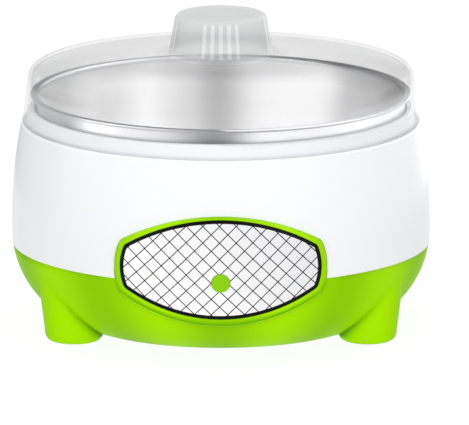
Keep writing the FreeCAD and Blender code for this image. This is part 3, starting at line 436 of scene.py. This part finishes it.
def painted_highlight_streaks(tree, point):
    """Share between 0 and 1 of the painted highlight streaks down the knob's wall, in groups around it."""
    across, back, up = coordinates(tree, point)
    turn = calculate(tree, "ARCTAN2", across, back)
    group = calculate(tree, "COSINE", calculate(tree, "MULTIPLY", turn, STREAK_GROUPS))
    streak = calculate(tree, "COSINE", calculate(tree, "MULTIPLY", turn, STREAKS_AROUND))
    shares = (
        between(tree, up, 0.0, 1.0, KNOB_ROOT, KNOB_ROOT + KNOB_EDGE),
        between(tree, up, 1.0, 0.0, LID_TOP - STREAK_FADE, LID_TOP - STREAK_END),
        between(tree, group, 0.0, 1.0, *GROUP_EDGE),
        between(tree, streak, BETWEEN_STREAKS, 1.0, *STREAK_EDGE),
    )
    return combined(tree, "MULTIPLY", shares)


def near_side(tree, point):
    """1 on the lid's outer faces where they are seen from outside, and 0 elsewhere."""
    geometry = tree.nodes.new("ShaderNodeNewGeometry")
    outward, up_normal = surface_turn(tree, point, geometry.outputs["True Normal"])
    outer = calculate(tree, "GREATER_THAN", calculate(tree, "ADD", outward, up_normal), 0.0)
    from_outside = calculate(tree, "SUBTRACT", 1.0, geometry.outputs["Backfacing"])
    return calculate(tree, "MULTIPLY", outer, from_outside)


def lid_colour(tree, point):
    """Grey film that is paler on the skirt, on the knob and most of all in the painted highlight streaks on
    the knob.
    """
    _, _, up = coordinates(tree, point)
    grey = linear(105, 106, 108)
    pale = linear(248, 249, 250)
    shares = (
        calculate(tree, "SUBTRACT", on_skirt(tree, up), at_lid_rim(tree, up)),
        on_knob(tree, up, KNOB_PALE),
        # Painted highlight: the pale streaks down the knob
        calculate(tree, "MULTIPLY", painted_highlight_streaks(tree, point), STREAK_HIGHLIGHT),
    )
    return mixed(tree, combined(tree, "MAXIMUM", shares), grey, pale)


def lid_film(tree, point):
    """How much of the film shows: more at a slant, at the rim, on the skirt's sides and on the knob."""
    _, _, up = coordinates(tree, point)
    slant = tree.nodes.new("ShaderNodeLayerWeight").outputs["Facing"]
    haze = between(tree, slant, 0.0, SKIRT_HAZE, HAZE_START, HAZE_END)
    films = (
        between(tree, slant, FILM_FACE_ON, FILM_AT_SLANT, FILM_START, FILM_END),
        calculate(tree, "MULTIPLY", on_knob(tree, up, KNOB_FILM), near_side(tree, point)),
        calculate(tree, "MULTIPLY", at_lid_rim(tree, up), FILM_AT_RIM),
        calculate(tree, "MULTIPLY", on_skirt(tree, up), haze),
    )
    return combined(tree, "MAXIMUM", films)


def clear_plastic():
    """Thin clear moulding under a pale film."""
    material, tree, shader = new_material("clear_plastic")
    point = object_point(tree)
    gloss = noise(tree, point, LID_GLOSS_PATCH)
    set_inputs(
        tree,
        shader,
        Base_Color=lid_colour(tree, point),
        Roughness=between(tree, gloss, low=0.26, high=0.34),
        IOR=1.59,
        Specular_IOR_Level=0.08,
        Alpha=lid_film(tree, point),
    )
    return material


def lamp_glass():
    """Clear glass of the lamp's bulb."""
    material, tree, shader = new_material("lamp_glass")
    gloss = noise(tree, object_point(tree), BULB_GLOSS_PATCH)
    set_inputs(
        tree,
        shader,
        Base_Color=linear(250, 244, 236),
        Roughness=between(tree, gloss, low=0.0, high=0.03),
        IOR=1.5,
        Transmission_Weight=1.0,
    )
    return material


def rim_shade_share(tree, point):
    """Painted shade: 1 at the pot's rim, less on its outside, and 0 on the bright inside."""
    _, _, up = coordinates(tree, point)
    at_rim = between(tree, up, 0.0, 1.0, POT_RIM - RIM_SHADE_BAND, POT_RIM)
    normal = tree.nodes.new("ShaderNodeTexCoord").outputs["Normal"]
    outward, up_normal = surface_turn(tree, point, normal)
    turned_out = calculate(tree, "SUBTRACT", outward, up_normal)
    outside = between(tree, turned_out, 0.0, OUTSIDE_SHADE, -OUTSIDE_SHADE_EDGE, OUTSIDE_SHADE_EDGE)
    return calculate(tree, "MAXIMUM", at_rim, outside)


def brushed_steel():
    """Stainless sheet with fine lines around the pot, and painted shade at its rim and outside."""
    material, tree, shader = new_material("brushed_steel")
    point = object_point(tree)
    lines = noise(tree, stretched(tree, point, BRUSH_STRETCH), BRUSH_LINE, detail=3.0)
    sheet = linear(238, 238, 239)
    bright_line = linear(246, 246, 246)
    # Painted shade: the darker steel at the rim and on the outside
    shaded_steel = linear(186, 186, 188)
    bright = mixed(tree, lines, sheet, bright_line)
    tangent = tree.nodes.new("ShaderNodeTangent")
    tangent.direction_type = "RADIAL"
    tangent.axis = "Z"
    set_inputs(
        tree,
        shader,
        Base_Color=mixed(tree, rim_shade_share(tree, point), bright, shaded_steel),
        Metallic=1.0,
        Roughness=between(tree, lines, low=0.3, high=0.4),
        Anisotropic=0.85,
        Anisotropic_Rotation=0.25,
        Tangent=tangent.outputs["Tangent"],
        Normal=bumps(tree, lines, depth=0.002 * MILLIMETRE),
    )
    return material


def plain_metal(name, colour, roughness):
    """Metal with a fine uneven grain."""
    material, tree, shader = new_material(name)
    grain = noise(tree, object_point(tree), METAL_GRAIN, detail=3.0)
    set_inputs(
        tree,
        shader,
        Base_Color=mixed(tree, grain, colour, darker(colour, share=0.85)),
        Metallic=1.0,
        Roughness=uneven(tree, grain, roughness, spread=0.2),
    )
    return material


def lens_plastic():
    """Tinted green lens of the lamp."""
    material, tree, shader = new_material("lens_plastic")
    drift = noise(tree, object_point(tree), LENS_DRIFT)
    set_inputs(
        tree,
        shader,
        Base_Color=mixed(tree, drift, linear(142, 208, 6), linear(136, 204, 4)),
        Roughness=0.25,
        Specular_IOR_Level=0.1,
    )
    return material


def line_mask(tree, distance, width):
    """1 within half the width of the nearest whole multiple of the pitch, and 0 elsewhere."""
    turns = calculate(tree, "DIVIDE", distance, LATTICE_PITCH)
    past_whole = calculate(tree, "SUBTRACT", turns, calculate(tree, "ROUND", turns))
    offset = calculate(tree, "ABSOLUTE", past_whole)
    return calculate(tree, "LESS_THAN", offset, width / 2 / LATTICE_PITCH)


def lattice_mask(tree, across, up):
    """1 on the thin lines of the diamond lattice."""
    width = LATTICE_LINE * math.sqrt(2)
    from_crossing = calculate(tree, "SUBTRACT", across, CROSSING_ACROSS)
    above_crossing = calculate(tree, "SUBTRACT", up, CROSSING_UP)
    rising = line_mask(tree, calculate(tree, "SUBTRACT", from_crossing, above_crossing), width)
    falling = line_mask(tree, calculate(tree, "ADD", from_crossing, above_crossing), width)
    return calculate(tree, "MAXIMUM", rising, falling)


def printed_label():
    """White film that shades to silver, with a thin diamond lattice and a black border."""
    material, tree, shader = new_material("printed_label")
    white = linear(252, 252, 252)
    silver = linear(226, 226, 229)
    line_ink = linear(16, 16, 18)
    border_ink = linear(8, 8, 8)
    across, _, up = coordinates(tree, object_point(tree))
    corner = calculate(tree, "ADD", across, calculate(tree, "SUBTRACT", up, CROSSING_UP))
    silver_share = between(tree, corner, 0.0, 1.0, -SILVER_REACH, SILVER_REACH)
    ground = mixed(tree, silver_share, white, silver)
    lined = mixed(tree, lattice_mask(tree, across, up), ground, line_ink)
    border = calculate(tree, "LESS_THAN", label_depth(tree, across, up), LABEL_BORDER)
    set_inputs(
        tree,
        shader,
        Base_Color=mixed(tree, border, lined, border_ink),
        Roughness=0.35,
        Specular_IOR_Level=0.1,
    )
    return material


def dress(node, material):
    """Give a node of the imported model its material."""
    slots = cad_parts[node].data.materials
    slots.clear()
    slots.append(material)


def dress_all():
    """Make every material once and give each node its own."""
    white = white_plastic()
    zinc = plain_metal("zinc_plate", linear(200, 202, 204), roughness=0.35)
    aluminium = plain_metal("aluminium", linear(222, 224, 226), roughness=0.4)
    brown = soft_material("brown_insulation", linear(110, 62, 30), roughness=0.5)
    cream = soft_material("cream_insulation", linear(232, 228, 214), roughness=0.5)
    materials = {
        "outer_lid": clear_plastic(),
        "inner_pot": brushed_steel(),
        "body_shell": white,
        "inner_well": white,
        "base_shell": green_plastic(),
        "panel_label": printed_label(),
        "indicator_lens": lens_plastic(),
        "foot_plugs": soft_material("foot_rubber", linear(52, 52, 54), roughness=0.7),
        "base_screws": zinc,
        "power_inlet": soft_material("socket_plastic", linear(38, 38, 40), roughness=0.45),
        "inlet_pins": plain_metal("nickel", linear(226, 218, 196), roughness=0.22),
        "heating_plate": aluminium,
        "plate_gasket": soft_material("silicone", linear(222, 222, 216), roughness=0.5),
        "plate_nuts": zinc,
        "ptc_heater": aluminium,
        "heater_clamp": zinc,
        "clamp_nuts": zinc,
        "thermal_fuse": cream,
        "fuse_clip": zinc,
        "indicator_lamp": lamp_glass(),
        "lamp_resistor": cream,
        "live_lead": brown,
        "fuse_lead": brown,
        "heater_leads": cream,
        "neutral_lead": soft_material("blue_insulation", linear(40, 92, 170), roughness=0.5),
        "lamp_leads": cream,
        "splice_sleeves": soft_material("red_nylon", linear(190, 60, 44), roughness=0.45),
    }
    for node, material in materials.items():
        dress(node, material)


def seen_ray(tree):
    """1 for rays that show the background: from the camera, in gloss or through clear glass."""
    path = tree.nodes.new("ShaderNodeLightPath")
    kinds = [path.outputs[f"Is {kind} Ray"] for kind in ("Camera", "Glossy", "Transmission")]
    return combined(tree, "MAXIMUM", kinds)


def light_world():
    """White room: it looks white, and lights surfaces with less."""
    world = bpy.data.worlds.new("white_room")
    world.use_nodes = True
    tree = world.node_tree
    strength = between(tree, seen_ray(tree), WORLD_FILL, 1.0)
    set_inputs(tree, tree.nodes["Background"], Color=WHITE, Strength=strength)
    bpy.context.scene.world = world


def glowing(name, shade=0.0):
    """Matt material that gives off white light, with its tree and its shader."""
    material, tree, shader = new_material(name)
    set_inputs(
        tree,
        shader,
        Base_Color=(shade, shade, shade, 1.0),
        Roughness=1.0,
        Specular_IOR_Level=0.0,
        Emission_Color=WHITE,
    )
    return material, tree, shader


def floor_material():
    """Light table: a white top that glows, so that the shadow on it is faint."""
    material, tree, shader = glowing("white_floor", FLOOR_SHADE)
    set_inputs(tree, shader, Emission_Strength=between(tree, seen_ray(tree), FLOOR_FILL, FLOOR_GLOW))
    return material


def lay_floor():
    """White table top that reaches past the picture."""
    bpy.ops.mesh.primitive_circle_add(vertices=FLOOR_CORNERS, radius=FLOOR_RADIUS, fill_type="NGON")
    floor = bpy.context.object
    floor.name = "table_top"
    floor.data.materials.append(floor_material())


def soft_light(name, place, width, height, power):
    """Rectangular lamp that faces the object and isn't seen itself."""
    data = bpy.data.lights.new(name, "AREA")
    data.shape = "RECTANGLE"
    data.size = width
    data.size_y = height
    data.energy = power
    lamp = bpy.data.objects.new(name, data)
    lamp.location = place
    lamp.rotation_euler = (VIEW_TARGET - Vector(place)).to_track_quat("-Z", "Y").to_euler()
    lamp.visible_camera = False
    lamp.visible_glossy = False
    bpy.context.scene.collection.objects.link(lamp)


def set_lights():
    """Lamps from the front, the back and overhead."""
    for name, (place, width, height, power) in LAMPS.items():
        soft_light(name, place, width, height, power)


def curved_card(name, material, start, end, low, high):
    """Upright curved card around the object, seen in gloss alone."""
    vertices = []
    for step in range(CARD_STEPS + 1):
        turn = math.radians(start + (end - start) * step / CARD_STEPS)
        for height in (low, high):
            vertices.append((RING_RADIUS * math.sin(turn), -RING_RADIUS * math.cos(turn), height))
    faces = [(2 * i, 2 * i + 2, 2 * i + 3, 2 * i + 1) for i in range(CARD_STEPS)]
    mesh = bpy.data.meshes.new(name)
    mesh.from_pydata(vertices, [], faces)
    mesh.materials.append(material)
    piece = bpy.data.objects.new(name, mesh)
    for kind in ("camera", "diffuse", "transmission", "volume_scatter", "shadow"):
        setattr(piece, f"visible_{kind}", False)
    bpy.context.scene.collection.objects.link(piece)


def ring_material():
    """Grey that changes around the object as the list of levels says."""
    material, tree, shader = glowing("ring_glow")
    across, back, _ = coordinates(tree, object_point(tree))
    turn = calculate(tree, "ARCTAN2", across, calculate(tree, "MULTIPLY", back, -1.0))
    ramp = tree.nodes.new("ShaderNodeValToRGB")
    set_inputs(tree, ramp, Fac=between(tree, turn, 0.0, 1.0, -math.pi, math.pi))
    stops = ramp.color_ramp.elements
    for angle, _ in RING_LEVELS[1:-1]:
        stops.new((angle + 180) / 360)
    for stop, (_, level) in zip(stops, RING_LEVELS):
        grey = level / BRIGHTEST
        stop.color = (grey, grey, grey, 1.0)
    strength = calculate(tree, "MULTIPLY", ramp.outputs["Color"], BRIGHTEST)
    set_inputs(tree, shader, Emission_Strength=strength)
    return material


def wall_material(name, level):
    """One even grey, this bright."""
    material, tree, shader = glowing(name)
    set_inputs(tree, shader, Emission_Strength=level)
    return material


def set_ring():
    """Grey ring whose reflection gives the steel its upright bands, and the low walls behind the object."""
    ring = ring_material()
    far_seam = 360 - RING_SEAM
    curved_card("front_ring", ring, -RING_SEAM, RING_SEAM, 0.0, FRONT_RING_TOP)
    curved_card("rear_ring", ring, RING_SEAM, far_seam, WALL_TOP, REAR_RING_TOP)
    walls = (
        ("right_wall", RING_SEAM, WALL_SEAM, RIGHT_WALL),
        ("rear_wall", WALL_SEAM, far_seam, REAR_WALL),
    )
    for name, start, end, level in walls:
        curved_card(name, wall_material(name, level), start, end, 0.0, WALL_TOP)


def set_camera():
    """Camera far away with a long lens, so that the picture has hardly any perspective."""
    data = bpy.data.cameras.new("camera")
    data.sensor_width = SENSOR_WIDTH_MM
    data.lens = SENSOR_WIDTH_MM * CAMERA_DISTANCE * PIXELS_PER_METRE / IMAGE_WIDTH_PX
    camera = bpy.data.objects.new("camera", data)
    tilt = math.radians(VIEW_ELEVATION)
    away = Vector((0.0, -math.cos(tilt), math.sin(tilt)))
    camera.location = VIEW_TARGET + away * CAMERA_DISTANCE
    camera.rotation_euler = (-away).to_track_quat("-Z", "Y").to_euler()
    bpy.context.scene.collection.objects.link(camera)
    bpy.context.scene.camera = camera


bpy.context.scene.view_settings.view_transform = "Standard"
dress_all()
light_world()
lay_floor()
set_lights()
set_ring()
set_camera()
